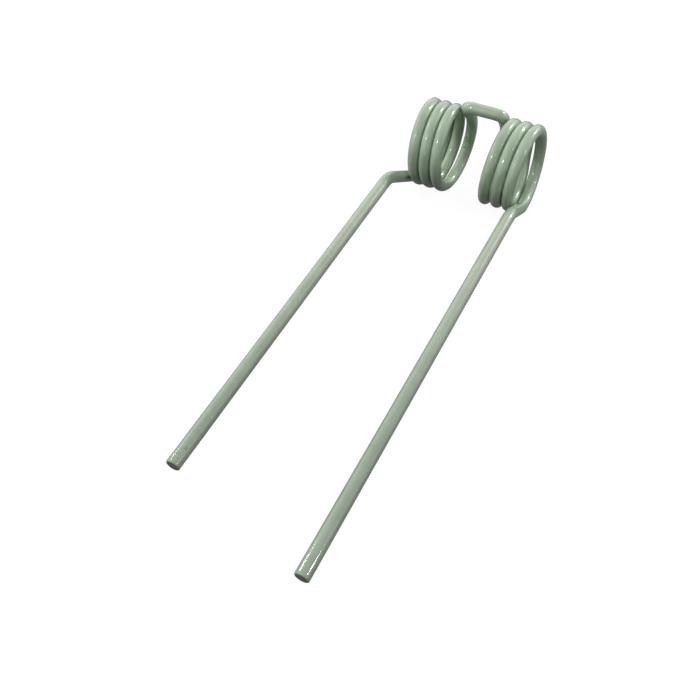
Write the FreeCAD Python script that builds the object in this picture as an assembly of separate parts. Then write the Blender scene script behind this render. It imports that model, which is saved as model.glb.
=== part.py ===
"""Rotary rake tine: one round spring-steel wire bent into two close-wound coils, a bridge and two long legs.

The wire runs left leg, left coil, bridge, right coil, right leg. Both coils share one axis along X,
and the legs reach towards -Y. The tine lies as it comes to rest: the undersides of the coils and the
end of the longer leg are on the ground plane Z = 0. The origin is the middle of its footprint.
"""
import FreeCAD, Part
import math
import os

Vector = FreeCAD.Vector

# Driving dimensions, in millimetres and degrees
wire_diameter = 9.5
coil_mean_diameter = 62.0
turns_per_coil = 3.457
turn_gap = 0.15                # air between neighbouring close-wound turns
first_turn_opening = 2.0       # extra room beside the turn next to the bridge
opening_build_up = 300.0       # angle of winding over which that room builds up
run_up_lean = 1.2              # how far the wire leans back towards its coil before the bridge
leaning_angle = 52.0           # angle of winding over which it does so
coil_spacing = 27.6            # between the wire centres where the coils would begin without the lean
bridge_offset = 18.8           # from where a coil begins to the line of the bridge
bridge_bend_radius = 6.0
leg_run_out = 47.0             # from the coil to the corner of the leg's bend
leg_bend = 33.9
leg_bend_radius = 28.0
right_leg_length = 320.0       # from the corner of the bend to the cut end
left_leg_length = 295.0
end_edge_radius = 0.8
arc_pairs_per_turn = 4         # how finely arcs follow the winding

# Sizes that follow from them
wire_radius = wire_diameter / 2
coil_radius = coil_mean_diameter / 2
coil_outer_radius = coil_radius + wire_radius
pitch = wire_diameter + turn_gap
wound_angle = 2 * math.pi * turns_per_coil
build_up_angle = math.radians(opening_build_up)
lean_angle = math.radians(leaning_angle)
bend_angle = math.radians(leg_bend)
lead_angle = math.atan(pitch / (2 * math.pi * coil_radius))
side_view_run_out = leg_run_out * math.cos(lead_angle)


def resting_rise():
    """Upward angle at which the wire leaves the coil when coils and right leg both touch the ground."""
    reach = side_view_run_out + right_leg_length * math.cos(bend_angle) - wire_radius * math.sin(bend_angle)
    drop = coil_radius + right_leg_length * math.sin(bend_angle) + wire_radius * math.cos(bend_angle)
    return math.atan2(drop, reach) - math.asin(coil_outer_radius / math.hypot(reach, drop))


# Angles about the coil axis are measured from the back (+Y) through the top, and the winding runs
# backwards through them, from the bridge down the back and round to the leg.
rise_angle = resting_rise()
leg_slope = bend_angle - rise_angle
winding_end = -math.pi / 2 - rise_angle
winding_start = winding_end + wound_angle

# The footprint runs from the backs of the coils to the lower edge of the right leg's end
leg_corner_reach = coil_radius * math.sin(rise_angle) + side_view_run_out * math.cos(rise_angle)
front_reach = leg_corner_reach + right_leg_length * math.cos(leg_slope) + wire_radius * math.sin(leg_slope)
axis_y = (front_reach - coil_outer_radius) / 2
axis_z = coil_outer_radius


def winding_point(turned):
    """Wire centre in the right coil after winding through an angle from the bridge."""
    share = min(turned / build_up_angle, 1.0)
    opening = first_turn_opening * share * share * (3 - 2 * share)
    lean = run_up_lean * max(1 - turned / lean_angle, 0.0) ** 2
    angle = winding_start - turned
    x = coil_spacing / 2 + pitch * turned / (2 * math.pi) + opening + lean
    return Vector(x, axis_y + coil_radius * math.cos(angle), axis_z + coil_radius * math.sin(angle))


def winding_direction(turned):
    """Unit direction of the wire at the same place."""
    share = min(turned / build_up_angle, 1.0)
    opening_rate = first_turn_opening * 6 * share * (1 - share) / build_up_angle
    lean_rate = 2 * run_up_lean * max(1 - turned / lean_angle, 0.0) / lean_angle
    angle = winding_start - turned
    sideways = pitch / (2 * math.pi) + opening_rate - lean_rate
    return Vector(sideways, coil_radius * math.sin(angle), -coil_radius * math.cos(angle)).normalize()


def tangent_arc(start, corner, end):
    """Arc that touches the two equal legs of a corner at their far ends."""
    towards_start = (start - corner).normalize()
    towards_end = (end - corner).normalize()
    half_corner = towards_start.getAngle(towards_end) / 2
    leg = (start - corner).Length
    radius = leg * math.tan(half_corner)
    bisector = (towards_start + towards_end).normalize()
    middle = corner + bisector * (leg / math.cos(half_corner) - radius)
    return Part.Arc(start, middle, end).toShape()


def arc_pair(start, start_direction, end, end_direction):
    """Two arcs in space that join two points and keep the given direction at each."""
    chord = end - start
    turn = start_direction + end_direction
    spread = 2 * (1 - start_direction.dot(end_direction))
    reach = (math.sqrt(chord.dot(turn) ** 2 + spread * chord.dot(chord)) - chord.dot(turn)) / spread
    first_corner = start + start_direction * reach
    last_corner = end - end_direction * reach
    meeting = (first_corner + last_corner) * 0.5
    return [tangent_arc(start, first_corner, meeting), tangent_arc(meeting, last_corner, end)]


def bent_corner(corner, towards_start, towards_end, radius):
    """Arc of a given radius round a corner."""
    half_corner = towards_start.getAngle(towards_end) / 2
    leg = radius / math.tan(half_corner)
    return tangent_arc(corner + towards_start * leg, corner, corner + towards_end * leg)


def first_point(edge):
    return edge.Vertexes[0].Point


def last_point(edge):
    return edge.Vertexes[-1].Point


def right_half(leg_length):
    """Edges of the wire's centre line from the middle of the bridge to the end of the leg."""
    coil_start = winding_point(0.0)
    start_direction = winding_direction(0.0)
    bridge_corner = coil_start - start_direction * bridge_offset
    bridge_middle = Vector(0, bridge_corner.y, bridge_corner.z)
    bridge_bend = bent_corner(bridge_corner, Vector(-1, 0, 0), start_direction, bridge_bend_radius)
    edges = [Part.makeLine(bridge_middle, first_point(bridge_bend)), bridge_bend]
    edges.append(Part.makeLine(last_point(bridge_bend), coil_start))

    steps = math.ceil(arc_pairs_per_turn * turns_per_coil)
    for step in range(steps):
        before = wound_angle * step / steps
        after = wound_angle * (step + 1) / steps
        edges += arc_pair(winding_point(before), winding_direction(before),
                          winding_point(after), winding_direction(after))

    coil_end = winding_point(wound_angle)
    end_direction = winding_direction(wound_angle)
    leg_corner = coil_end + end_direction * leg_run_out
    leg_direction = Vector(0, -math.cos(leg_slope), -math.sin(leg_slope))
    leg_bend_arc = bent_corner(leg_corner, -end_direction, leg_direction, leg_bend_radius)
    edges += [Part.makeLine(coil_end, first_point(leg_bend_arc)), leg_bend_arc]
    edges.append(Part.makeLine(last_point(leg_bend_arc), leg_corner + leg_direction * leg_length))
    return edges


def spring_tine():
    """The wire swept along its centre line, with the edges of its two cut ends rounded."""
    right = right_half(right_leg_length)
    left = [edge.mirror(Vector(0, 0, 0), Vector(1, 0, 0)) for edge in right_half(left_leg_length)]
    centre_line = Part.Wire(Part.sortEdges(left + right)[0])
    start = centre_line.OrderedVertexes[0].Point
    leg_direction = Vector(0, math.cos(leg_slope), math.sin(leg_slope))
    section = Part.Wire(Part.makeCircle(wire_radius, start, leg_direction))
    wire = centre_line.makePipeShell([section], True, False)
    ends = [face for face in wire.Faces if face.Surface.TypeId == "Part::GeomPlane"]
    end_edges = [edge for face in ends for edge in face.Edges]
    return wire.makeFillet(end_edge_radius, end_edges).Solids[0]


os.makedirs("parts", exist_ok=True)
spring_tine().exportStep("parts/spring_tine.step")
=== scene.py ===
"""Rotary rake tine on a white studio floor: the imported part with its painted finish, lights and camera."""
import math

import bpy
from mathutils import Matrix, Vector


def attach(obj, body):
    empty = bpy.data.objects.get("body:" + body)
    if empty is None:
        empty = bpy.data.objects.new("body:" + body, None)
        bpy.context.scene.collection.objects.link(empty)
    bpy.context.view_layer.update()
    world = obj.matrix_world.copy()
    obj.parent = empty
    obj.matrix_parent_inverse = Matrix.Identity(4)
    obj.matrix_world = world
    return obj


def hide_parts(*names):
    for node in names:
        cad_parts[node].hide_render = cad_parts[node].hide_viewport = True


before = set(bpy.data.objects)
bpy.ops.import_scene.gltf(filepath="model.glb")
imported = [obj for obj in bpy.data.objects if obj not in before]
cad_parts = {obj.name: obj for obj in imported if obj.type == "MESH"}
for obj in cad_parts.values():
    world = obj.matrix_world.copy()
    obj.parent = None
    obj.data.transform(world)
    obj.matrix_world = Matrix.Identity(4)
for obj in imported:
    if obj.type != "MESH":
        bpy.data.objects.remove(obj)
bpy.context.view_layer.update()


# Spring tine: the whole part is one length of round spring-steel wire. It is wound cold into two
# close coils that share an axis, with a short bridge between them and a long leg running off each,
# is sheared to length at both ends, and is then painted all over in a glossy sage enamel.
wire_diameter = 0.0095
coil_mean_diameter = 0.062
turns_per_coil = 3.457
turn_gap = 0.00015
first_turn_opening = 0.0020     # extra room beside the turn next to the bridge
opening_build_up = 300.0
run_up_lean = 0.0012            # how far the wire leans back towards its coil before the bridge
leaning_angle = 52.0
coil_spacing = 0.0276
bridge_offset = 0.0188
bridge_bend_radius = 0.006
leg_run_out = 0.047
leg_bend = 33.9
leg_bend_radius = 0.028
right_leg_length = 0.320
left_leg_length = 0.295
end_edge_radius = 0.0008
slit_inset = 0.00185            # how far the backs of the right coil's two middle turns sit in, which
slit_start = 365.0              # leaves a slit beside its last turn: from this angle of winding,
slit_angle = 100.0              # over this much of it, once in each of the two turns
coil_points = 73                # curve points along each coil, about 17 degrees apart
end_step = 0.012                # short step at each end of a leg, so that its shading ends square

wire_radius = wire_diameter / 2
coil_radius = coil_mean_diameter / 2
coil_outer_radius = coil_radius + wire_radius
pitch = wire_diameter + turn_gap
wound_angle = 2 * math.pi * turns_per_coil
build_up_angle = math.radians(opening_build_up)
lean_angle = math.radians(leaning_angle)
bend_angle = math.radians(leg_bend)
lead_angle = math.atan(pitch / (2 * math.pi * coil_radius))
side_view_run_out = leg_run_out * math.cos(lead_angle)

# The tine lies on the undersides of its coils and the end of the longer leg, which sets its tilt
reach = side_view_run_out + right_leg_length * math.cos(bend_angle) - wire_radius * math.sin(bend_angle)
drop = coil_radius + right_leg_length * math.sin(bend_angle) + wire_radius * math.cos(bend_angle)
rise_angle = math.atan2(drop, reach) - math.asin(coil_outer_radius / math.hypot(reach, drop))
leg_slope = bend_angle - rise_angle
winding_start = wound_angle - math.pi / 2 - rise_angle
leg_corner_reach = coil_radius * math.sin(rise_angle) + side_view_run_out * math.cos(rise_angle)
front_reach = leg_corner_reach + right_leg_length * math.cos(leg_slope) + wire_radius * math.sin(leg_slope)
axis_y = (front_reach - coil_outer_radius) / 2
axis_z = coil_outer_radius


def slit_phase(turned):
    """How far through the slit a middle turn is, from 0 to 1, or 0 before the first and after the last."""
    passed = math.degrees(turned) - slit_start
    if not 0 < passed < 2 * 360:
        return 0.0
    return min(passed % 360 / slit_angle, 1.0)


def winding_point(turned, inset):
    """Wire centre in the right coil after winding through an angle from the bridge."""
    share = min(turned / build_up_angle, 1.0)
    opening = first_turn_opening * share * share * (3 - 2 * share)
    lean = run_up_lean * max(1 - turned / lean_angle, 0.0) ** 2
    angle = winding_start - turned
    x = coil_spacing / 2 + pitch * turned / (2 * math.pi) + opening + lean
    x -= inset * math.sin(math.pi * slit_phase(turned)) ** 2
    return Vector((x, axis_y + coil_radius * math.cos(angle), axis_z + coil_radius * math.sin(angle)))


def winding_rate(turned, inset):
    """How fast that point moves as the wire winds on, in metres for each radian."""
    share = min(turned / build_up_angle, 1.0)
    opening_rate = first_turn_opening * 6 * share * (1 - share) / build_up_angle
    lean_rate = 2 * run_up_lean * max(1 - turned / lean_angle, 0.0) / lean_angle
    angle = winding_start - turned
    sideways = pitch / (2 * math.pi) + opening_rate - lean_rate
    sideways -= inset * math.sin(2 * math.pi * slit_phase(turned)) * math.pi / math.radians(slit_angle)
    return Vector((sideways, coil_radius * math.sin(angle), -coil_radius * math.cos(angle)))


def bend_points(corner, arriving, leaving, radius):
    """The two curve points, each with the handle that follows the bend, of a round bend at a corner."""
    bend = arriving.angle(leaving)
    tangent = radius * math.tan(bend / 2)
    handle = radius * 4 / 3 * math.tan(bend / 4)
    return (corner - arriving * tangent, arriving * handle), (corner + leaving * tangent, leaving * handle)


def right_half(leg_length, inset):
    """Curve points from the bridge bend to the end of the leg: place, handle before, handle after."""
    coil_start = winding_point(0.0, inset)
    start_direction = winding_rate(0.0, inset).normalized()
    bridge_corner = coil_start - start_direction * bridge_offset
    outwards = Vector((1, 0, 0))
    into_bend, out_of_bend = bend_points(bridge_corner, outwards, start_direction, bridge_bend_radius)
    run_up = (coil_start - out_of_bend[0]) / 3
    half_bridge = Vector((into_bend[0].x / 3, 0, 0))
    points = [(into_bend[0], half_bridge, into_bend[1]), (out_of_bend[0], out_of_bend[1], run_up)]

    step = wound_angle / (coil_points - 1)
    step_handle = 4 / 3 * math.tan(step / 4)
    for number in range(coil_points):
        place = winding_point(step * number, inset)
        handle = winding_rate(step * number, inset) * step_handle
        points.append([place, handle, handle])
    points[2][1] = run_up

    coil_end = winding_point(wound_angle, inset)
    end_direction = winding_rate(wound_angle, inset).normalized()
    leg_corner = coil_end + end_direction * leg_run_out
    leg_direction = Vector((0, -math.cos(leg_slope), -math.sin(leg_slope)))
    into_bend, out_of_bend = bend_points(leg_corner, end_direction, leg_direction, leg_bend_radius)
    run_out = (into_bend[0] - coil_end) / 3
    points[-1][2] = run_out
    leg_end = leg_corner + leg_direction * leg_length
    step_in = leg_direction * end_step
    leg_third = (leg_end - out_of_bend[0] - step_in * 2) / 3
    points.append((into_bend[0], run_out, into_bend[1]))
    points.append((out_of_bend[0], out_of_bend[1], step_in / 3))
    points.append((out_of_bend[0] + step_in, step_in / 3, leg_third))
    points.append((leg_end - step_in, leg_third, step_in / 3))
    points.append((leg_end, step_in / 3, step_in / 3))
    return points


def mirrored(vector):
    """The same place or handle in the left half."""
    return Vector((-vector.x, vector.y, vector.z))


left_half = [(mirrored(place), mirrored(after), mirrored(before))
             for place, before, after in reversed(right_half(left_leg_length, 0.0))]
left_half = [(place, -before, -after) for place, before, after in left_half]
centre_line = left_half + right_half(right_leg_length, slit_inset)

# Drawn as one curve with a round section of 48 sides, and then made a mesh. Each end's cap is merged
# into one face, and its edge is rounded.
bpy.ops.object.select_all(action="DESELECT")
bpy.ops.curve.primitive_bezier_curve_add(location=(0, 0, 0))
tine = bpy.context.object
tine.name = "coated_wire_tine"
spline = tine.data.splines[0]
spline.bezier_points.add(len(centre_line) - 2)
for point, (place, before, after) in zip(spline.bezier_points, centre_line):
    point.handle_left_type = "FREE"
    point.handle_right_type = "FREE"
    point.co = place
    point.handle_left = place - before
    point.handle_right = place + after
tine.data.dimensions = "3D"
tine.data.resolution_u = 6
tine.data.bevel_depth = wire_radius
tine.data.bevel_resolution = 22
tine.data.use_fill_caps = True
bpy.ops.object.convert(target="MESH")

merging_distance = 1e-6
edge_segments = 5
smooth_below = math.radians(35)
ends = (centre_line[0][0], centre_line[-1][0])
bpy.ops.object.mode_set(mode="EDIT")
bpy.ops.mesh.select_all(action="SELECT")
bpy.ops.mesh.remove_doubles(threshold=merging_distance)
bpy.ops.mesh.select_mode(type="FACE")
bpy.ops.mesh.select_all(action="DESELECT")
bpy.ops.object.mode_set(mode="OBJECT")
for face in tine.data.polygons:
    face.select = min((face.center - end).length for end in ends) < wire_radius
bpy.ops.object.mode_set(mode="EDIT")
bpy.ops.mesh.dissolve_faces()
bpy.ops.mesh.region_to_loop()
bpy.ops.mesh.bevel(offset=end_edge_radius, segments=edge_segments, profile=0.5, affect="EDGES")
bpy.ops.mesh.select_all(action="SELECT")
bpy.ops.mesh.normals_make_consistent(inside=False)
bpy.ops.object.mode_set(mode="OBJECT")
bpy.ops.object.shade_smooth_by_angle(angle=smooth_below)


def linear(hex_colour):
    """An sRGB hex colour as linear red, green, blue and alpha."""
    channels = [int(hex_colour[place:place + 2], 16) / 255 for place in (1, 3, 5)]
    return tuple(c / 12.92 if c <= 0.04045 else ((c + 0.055) / 1.055) ** 2.4 for c in channels) + (1.0,)


def add_node(tree, kind, inputs=None, **settings):
    """Adds a node with its own settings; each input takes a value or the socket it is linked from."""
    node = tree.nodes.new(kind)
    for name, setting in settings.items():
        setattr(node, name, setting)
    for socket, value in (inputs or {}).items():
        if isinstance(value, bpy.types.NodeSocket):
            tree.links.new(value, node.inputs[socket])
        else:
            node.inputs[socket].default_value = value
    return node


first_colour, second_colour, mixed_colour = 6, 7, 2     # sockets of a Mix node that mixes colours

# Gloss enamel over steel wire: a hard, wet-looking skin over a duller paint. Its orange-peel ripple,
# about 2 mm across, softens the edges of each highlight. The paint is mottled over about 14 mm where
# it lies thicker. Along the tine its colour also carries painted light: darker towards the tips of the
# legs as painted shade, paler and greyer on the legs near the coils as a painted sheen, and greener on
# the coils.
enamel = bpy.data.materials.new("gloss_enamel_on_spring_steel")
enamel.use_nodes = True
tree = enamel.node_tree
shader = tree.nodes["Principled BSDF"]
place = add_node(tree, "ShaderNodeTexCoord").outputs["Object"]
mottle = add_node(tree, "ShaderNodeTexNoise", {
    "Vector": place, "Scale": 70.0, "Detail": 4.0, "Roughness": 0.65}).outputs["Fac"]
mottle = add_node(tree, "ShaderNodeMapRange", {
    "Value": mottle, "From Min": 0.3, "From Max": 0.7}).outputs[0]
along = add_node(tree, "ShaderNodeSeparateXYZ", {0: place}).outputs["Y"]
# The base tone, darker, stays on the leg tips as painted shade; of the two zones below, the first is a
# painted sheen, paler and greyer on the legs near the coils, and the second is greener on the coils
colour = add_node(tree, "ShaderNodeMix", {
    "Factor": mottle, first_colour: linear("#8A9A86"), second_colour: linear("#98A793")},
    data_type="RGBA").outputs[mixed_colour]
for start, end, dark, pale in (
        (-0.12, 0.06, "#A0AC98", "#AEBAA5"),
        (0.08, 0.13, "#98AE94", "#AABEA5")):
    painted_sheen_and_coil_tone = add_node(tree, "ShaderNodeMix", {
        "Factor": mottle, first_colour: linear(dark), second_colour: linear(pale)},
        data_type="RGBA").outputs[mixed_colour]
    reached = add_node(tree, "ShaderNodeMapRange", {
        "Value": along, "From Min": start, "From Max": end}).outputs[0]
    colour = add_node(tree, "ShaderNodeMix", {
        "Factor": reached, first_colour: colour, second_colour: painted_sheen_and_coil_tone},
        data_type="RGBA").outputs[mixed_colour]

# Rubbed marks, two near the left leg's tip and two on the back of the left coil, where a speckle
# about 1 mm across lets the darker undercoat through
speckle = add_node(tree, "ShaderNodeTexNoise", {
    "Vector": place, "Scale": 900.0, "Detail": 2.0}).outputs["Fac"]
broken = add_node(tree, "ShaderNodeMapRange", {
    "Value": speckle, "From Min": 0.46, "From Max": 0.54}).outputs[0]
full_strength_share = 0.4       # share of a mark's radius inside which it has its full strength
for centre, radius, strength in (
        ((-0.0491, -0.1689, 0.0122), 0.0026, 0.45),
        ((-0.0516, -0.1734, 0.0121), 0.0020, 0.35),
        ((-0.0168, 0.1957, 0.0311), 0.0030, 0.70),
        ((-0.0171, 0.1939, 0.0251), 0.0026, 0.60)):
    away = add_node(tree, "ShaderNodeVectorMath", {
        0: place, 1: centre}, operation="DISTANCE").outputs["Value"]
    near = add_node(tree, "ShaderNodeMapRange", {
        "Value": away, "From Min": radius, "From Max": radius * full_strength_share,
        "To Max": strength}).outputs[0]
    rubbed = add_node(tree, "ShaderNodeMath", {0: near, 1: broken}, operation="MULTIPLY").outputs[0]
    colour = add_node(tree, "ShaderNodeMix", {
        "Factor": rubbed, first_colour: colour, second_colour: linear("#4F5A4C")},
        data_type="RGBA").outputs[mixed_colour]
tree.links.new(colour, shader.inputs["Base Color"])

peel = add_node(tree, "ShaderNodeTexNoise", {"Vector": place, "Scale": 500.0, "Detail": 2.0})
peel_bump = add_node(tree, "ShaderNodeBump", {
    "Height": peel.outputs["Fac"], "Distance": 0.00002, "Strength": 1.0})
tree.links.new(peel_bump.outputs["Normal"], shader.inputs["Normal"])
coat_bump = add_node(tree, "ShaderNodeBump", {
    "Height": peel.outputs["Fac"], "Distance": 0.000002, "Strength": 1.0})
tree.links.new(coat_bump.outputs["Normal"], shader.inputs["Coat Normal"])
shader.inputs["Roughness"].default_value = 0.38
shader.inputs["IOR"].default_value = 1.5
shader.inputs["Coat Weight"].default_value = 1.0
shader.inputs["Coat Roughness"].default_value = 0.09
shader.inputs["Coat IOR"].default_value = 1.5

# Thin enamel on the sheared ends: a duller, grainy coat, painted darker than the enamel as painted
# shade, since the end faces turn down and away from the lamps. The two ends are the only faces with
# more than four corners.
cut_end = enamel.copy()
cut_end.name = "thin_enamel_with_painted_shade_on_sheared_end"
tree = cut_end.node_tree
shader = tree.nodes["Principled BSDF"]
place = add_node(tree, "ShaderNodeTexCoord").outputs["Object"]
grain = add_node(tree, "ShaderNodeTexNoise", {
    "Vector": place, "Scale": 900.0, "Detail": 3.0}).outputs["Fac"]
# Painted shade: this grainy colour is darkened to stand for the shade the end faces lie in
shaded_end_colour = add_node(tree, "ShaderNodeMix", {
    "Factor": grain, first_colour: linear("#5A6456"), second_colour: linear("#7D8977")},
    data_type="RGBA").outputs[mixed_colour]
tree.links.new(shaded_end_colour, shader.inputs["Base Color"])
shader.inputs["Coat Weight"].default_value = 0.1
tine.data.materials.clear()
tine.data.materials.append(enamel)
tine.data.materials.append(cut_end)
for face in tine.data.polygons:
    if len(face.vertices) > 4:
        face.material_index = 1

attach(tine, "root")
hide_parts("spring_tine")


# Floor: matt paper laid flat. It is grey to the light, so that it keeps the tine's shadow and throws
# little back, and it glows white to the camera, and weakly to reflections. The white rises a little
# with the distance from the tine, where less light falls on the paper.
floor_size = 8.0
glow_in_reflections = 0.16
white_near_tine = 0.95
bpy.ops.object.select_all(action="DESELECT")
bpy.ops.mesh.primitive_plane_add(size=floor_size, location=(0, 0, 0))
floor = bpy.context.object
floor.name = "studio_floor"
paper = bpy.data.materials.new("matt_white_paper")
paper.use_nodes = True
tree = paper.node_tree
tree.nodes.clear()
ray = add_node(tree, "ShaderNodeLightPath").outputs
mirrored_share = add_node(tree, "ShaderNodeMath", {
    0: ray["Is Glossy Ray"], 1: glow_in_reflections}, operation="MULTIPLY")
seen = add_node(tree, "ShaderNodeMath", {
    0: ray["Is Camera Ray"], 1: ray["Is Transmission Ray"]}, operation="MAXIMUM")
seen = add_node(tree, "ShaderNodeMath", {
    0: seen.outputs[0], 1: mirrored_share.outputs[0]}, operation="MAXIMUM")
place = add_node(tree, "ShaderNodeTexCoord").outputs["Object"]
far_out = add_node(tree, "ShaderNodeVectorMath", {0: place}, operation="LENGTH").outputs["Value"]
white_level = add_node(tree, "ShaderNodeMapRange", {
    "Value": far_out, "From Min": 0.4, "From Max": 1.4, "To Min": white_near_tine, "To Max": 1.0})
glow_level = add_node(tree, "ShaderNodeMath", {
    0: seen.outputs[0], 1: white_level.outputs[0]}, operation="MULTIPLY")
matt = add_node(tree, "ShaderNodeBsdfDiffuse", {"Color": linear("#505050")})
glow = add_node(tree, "ShaderNodeEmission", {"Color": (1, 1, 1, 1), "Strength": glow_level.outputs[0]})
surface = add_node(tree, "ShaderNodeAddShader", {0: matt.outputs[0], 1: glow.outputs[0]})
add_node(tree, "ShaderNodeOutputMaterial", {"Surface": surface.outputs[0]})
floor.data.materials.append(paper)


# Light: a white room that fills softly, two large soft boxes that give most of the light and don't
# show in the gloss, and four small bare lamps, whose reflections are the round highlights on the
# turns and the streaks near the tips. A faint pale patch high behind shows only in reflections.
room_light = 0.18
patch_towards = (-0.74, 0.60, 0.30)
patch_glow = 0.3
soft_box_width = 0.60
tine_middle = Vector((0, 0.05, 0.03))
world = bpy.data.worlds.new("white_room")
world.use_nodes = True
bpy.context.scene.world = world
tree = world.node_tree
tree.nodes.clear()
ray = add_node(tree, "ShaderNodeLightPath").outputs
seen = add_node(tree, "ShaderNodeMath", {
    0: ray["Is Camera Ray"], 1: ray["Is Glossy Ray"]}, operation="MAXIMUM")
seen = add_node(tree, "ShaderNodeMath", {
    0: seen.outputs[0], 1: ray["Is Transmission Ray"]}, operation="MAXIMUM")
level = add_node(tree, "ShaderNodeMapRange", {
    "Value": seen.outputs[0], "To Min": room_light, "To Max": 1.0})
direction = add_node(tree, "ShaderNodeTexCoord").outputs["Generated"]
towards_patch = add_node(tree, "ShaderNodeVectorMath", {
    0: direction, 1: patch_towards}, operation="DOT_PRODUCT")
patch = add_node(tree, "ShaderNodeMapRange", {
    "Value": towards_patch.outputs["Value"], "From Min": 0.55, "From Max": 1.0, "To Max": patch_glow},
    interpolation_type="SMOOTHSTEP")
patch_seen = add_node(tree, "ShaderNodeMath", {
    0: patch.outputs[0], 1: ray["Is Glossy Ray"]}, operation="MULTIPLY")
strength = add_node(tree, "ShaderNodeMath", {
    0: level.outputs[0], 1: patch_seen.outputs[0]}, operation="ADD")
sky = add_node(tree, "ShaderNodeBackground", {"Color": (1, 1, 1, 1), "Strength": strength.outputs[0]})
add_node(tree, "ShaderNodeOutputWorld", {"Surface": sky.outputs[0]})

for name, spot, width, height, power in (
        ("key_box", (-1.28, -0.20, 0.66), soft_box_width, soft_box_width, 11.4),
        ("fill_box", (0.65, -0.25, 1.33), soft_box_width, soft_box_width, 5.8),
        ("lamp_behind", (0.60, 1.12, 0.66), 0.13, 0.13, 7.4),
        ("lamp_left", (-1.21, 0.193, 0.80), 0.05, 0.28, 1.6),
        ("lamp_right", (1.59, 0.27, 0.82), 0.06, 0.34, 2.3),
        ("lamp_front", (-0.50, -0.68, 0.75), 0.13, 0.13, 2.2)):
    lamp_data = bpy.data.lights.new(name, "AREA")
    lamp_data.shape = "ELLIPSE"
    lamp_data.size = width
    lamp_data.size_y = height
    lamp_data.energy = power
    lamp = bpy.data.objects.new(name, lamp_data)
    bpy.context.scene.collection.objects.link(lamp)
    lamp.location = spot
    lamp.rotation_euler = (tine_middle - Vector(spot)).to_track_quat("-Z", "Y").to_euler()
    lamp.visible_glossy = width < soft_box_width


# Camera: stands right of and in front of the tine and looks down on it, with a 38.7 mm lens on a
# 36 mm wide frame, at the place and angle that fit the photograph of the real part.
camera_heading = 27.486
camera_downward = 47.409
camera_roll = 0.2525
camera_data = bpy.data.cameras.new("camera")
camera_data.lens = 38.733
camera_data.sensor_width = 36.0
camera = bpy.data.objects.new("camera", camera_data)
bpy.context.scene.collection.objects.link(camera)
camera.location = (0.158248, -0.355051, 0.383536)
facing = Matrix.Rotation(math.radians(camera_heading), 4, "Z")
facing = facing @ Matrix.Rotation(math.radians(90 - camera_downward), 4, "X")
facing = facing @ Matrix.Rotation(math.radians(camera_roll), 4, "Z")
camera.rotation_euler = facing.to_euler()
bpy.context.scene.camera = camera

bpy.context.scene.view_settings.view_transform = "Standard"
